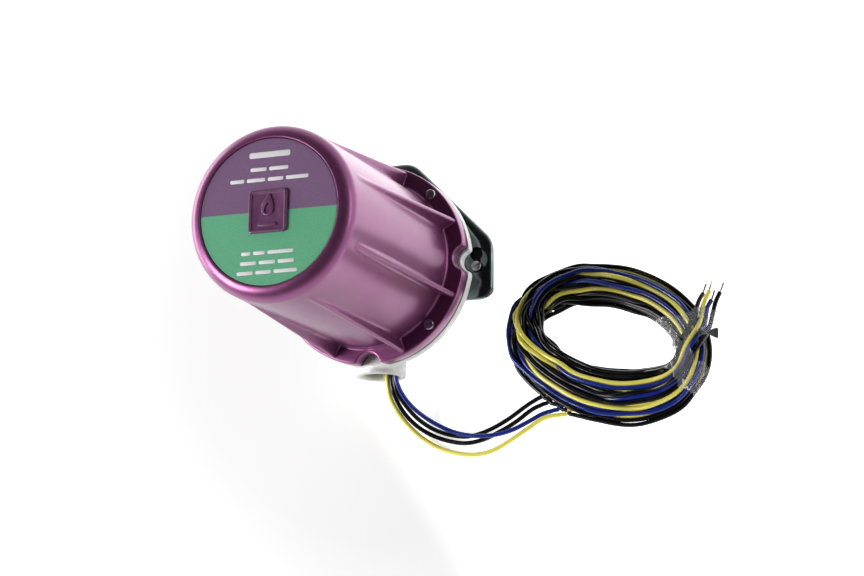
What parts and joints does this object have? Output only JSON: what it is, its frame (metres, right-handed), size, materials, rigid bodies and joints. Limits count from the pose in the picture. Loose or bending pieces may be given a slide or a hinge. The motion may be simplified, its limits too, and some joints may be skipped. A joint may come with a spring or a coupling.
{
  "type": "ultraviolet flame detector",
  "caption": "Bucket-shaped purple flame detector with a ribbed lift-off cover, cast base with a conduit boss, keyhole mounting plate and coloured flying leads.",
  "frame": {"origin": "centre of the mounting collar's rear mouth, on which the detector stands", "axes": "+Z along the sight axis towards the cover's round end; -Y towards the conduit boss"},
  "size_m": [0.2781, 0.1787, 0.1954],
  "materials": {
    "purple_enamel": "gloss",
    "label_print": "matte",
    "screw_zinc": "satin",
    "black_rubber": "matte",
    "cast_aluminium": "matte",
    "dark_chrome": "polished",
    "brass": "satin",
    "clear_glass": "gloss",
    "steel": "satin",
    "circuit_board": "satin",
    "winding_tape": "satin",
    "capacitor_sleeve": "gloss",
    "phenolic": "satin",
    "braided_sleeve": "matte",
    "yellow_pvc": "gloss",
    "blue_pvc": "gloss",
    "black_pvc": "gloss",
    "tinned_copper": "satin",
    "clear_film": "gloss"
  },
  "bodies": {
    "detector": {"base_casting": "cast_aluminium", "cover_gasket": "black_rubber", "ground_screw": "brass", "lead_grommet": "black_rubber", "window_o_ring": "black_rubber", "quartz_window": "clear_glass", "window_retainer": "brass", "keyhole_plate": "dark_chrome", "plate_screw_1": "screw_zinc", "plate_screw_2": "screw_zinc", "plate_screw_3": "screw_zinc", "plate_screw_4": "screw_zinc", "uv_tube_envelope": "clear_glass", "tube_cathode": "steel", "tube_anode": "steel", "tube_board": "circuit_board", "power_board": "circuit_board", "lower_standoff_1": "brass", "lower_standoff_2": "brass", "lower_standoff_3": "brass", "upper_standoff_1": "brass", "upper_standoff_2": "brass", "upper_standoff_3": "brass", "board_nut_1": "screw_zinc", "board_nut_2": "screw_zinc", "board_nut_3": "screw_zinc", "transformer_core": "steel", "transformer_winding": "winding_tape", "capacitor_1": "capacitor_sleeve", "capacitor_2": "capacitor_sleeve", "capacitor_3": "capacitor_sleeve", "terminal_block": "phenolic", "inner_lead_sleeve": "braided_sleeve", "lead_yellow": "yellow_pvc", "lead_black_1": "black_pvc", "lead_black_2": "black_pvc", "lead_blue": "blue_pvc", "lead_coil": "black_pvc", "tail_yellow": "yellow_pvc", "tail_black_1": "black_pvc", "tail_black_2": "black_pvc", "tail_blue": "blue_pvc", "stripped_end_yellow": "tinned_copper", "stripped_end_black_1": "tinned_copper", "stripped_end_black_2": "tinned_copper", "stripped_end_blue": "tinned_copper", "clear_tape_1": "clear_film", "clear_tape_2": "clear_film"},
    "cover": {"cover_shell": "purple_enamel", "label_disc": "label_print", "emblem_plate": "purple_enamel", "cover_screw_1": "screw_zinc", "cover_screw_2": "screw_zinc", "cover_screw_3": "screw_zinc", "cover_screw_4": "screw_zinc"},
    "mount": {"mounting_flange": "dark_chrome", "flange_gasket": "black_rubber", "mounting_screw_1": "screw_zinc", "mounting_screw_2": "screw_zinc", "mounting_screw_3": "screw_zinc"}
  },
  "joints": [
    {"name": "cover_lift", "type": "slide", "parent": "detector", "child": "cover", "axis": [0, 0, 1], "range_m": [0, 0.13]},
    {"name": "flange_twist", "type": "hinge", "parent": "detector", "child": "mount", "pos_m": [0, 0, 0.0237], "axis": [0, 0, 1], "range_deg": [0, 7.6]}
  ]
}
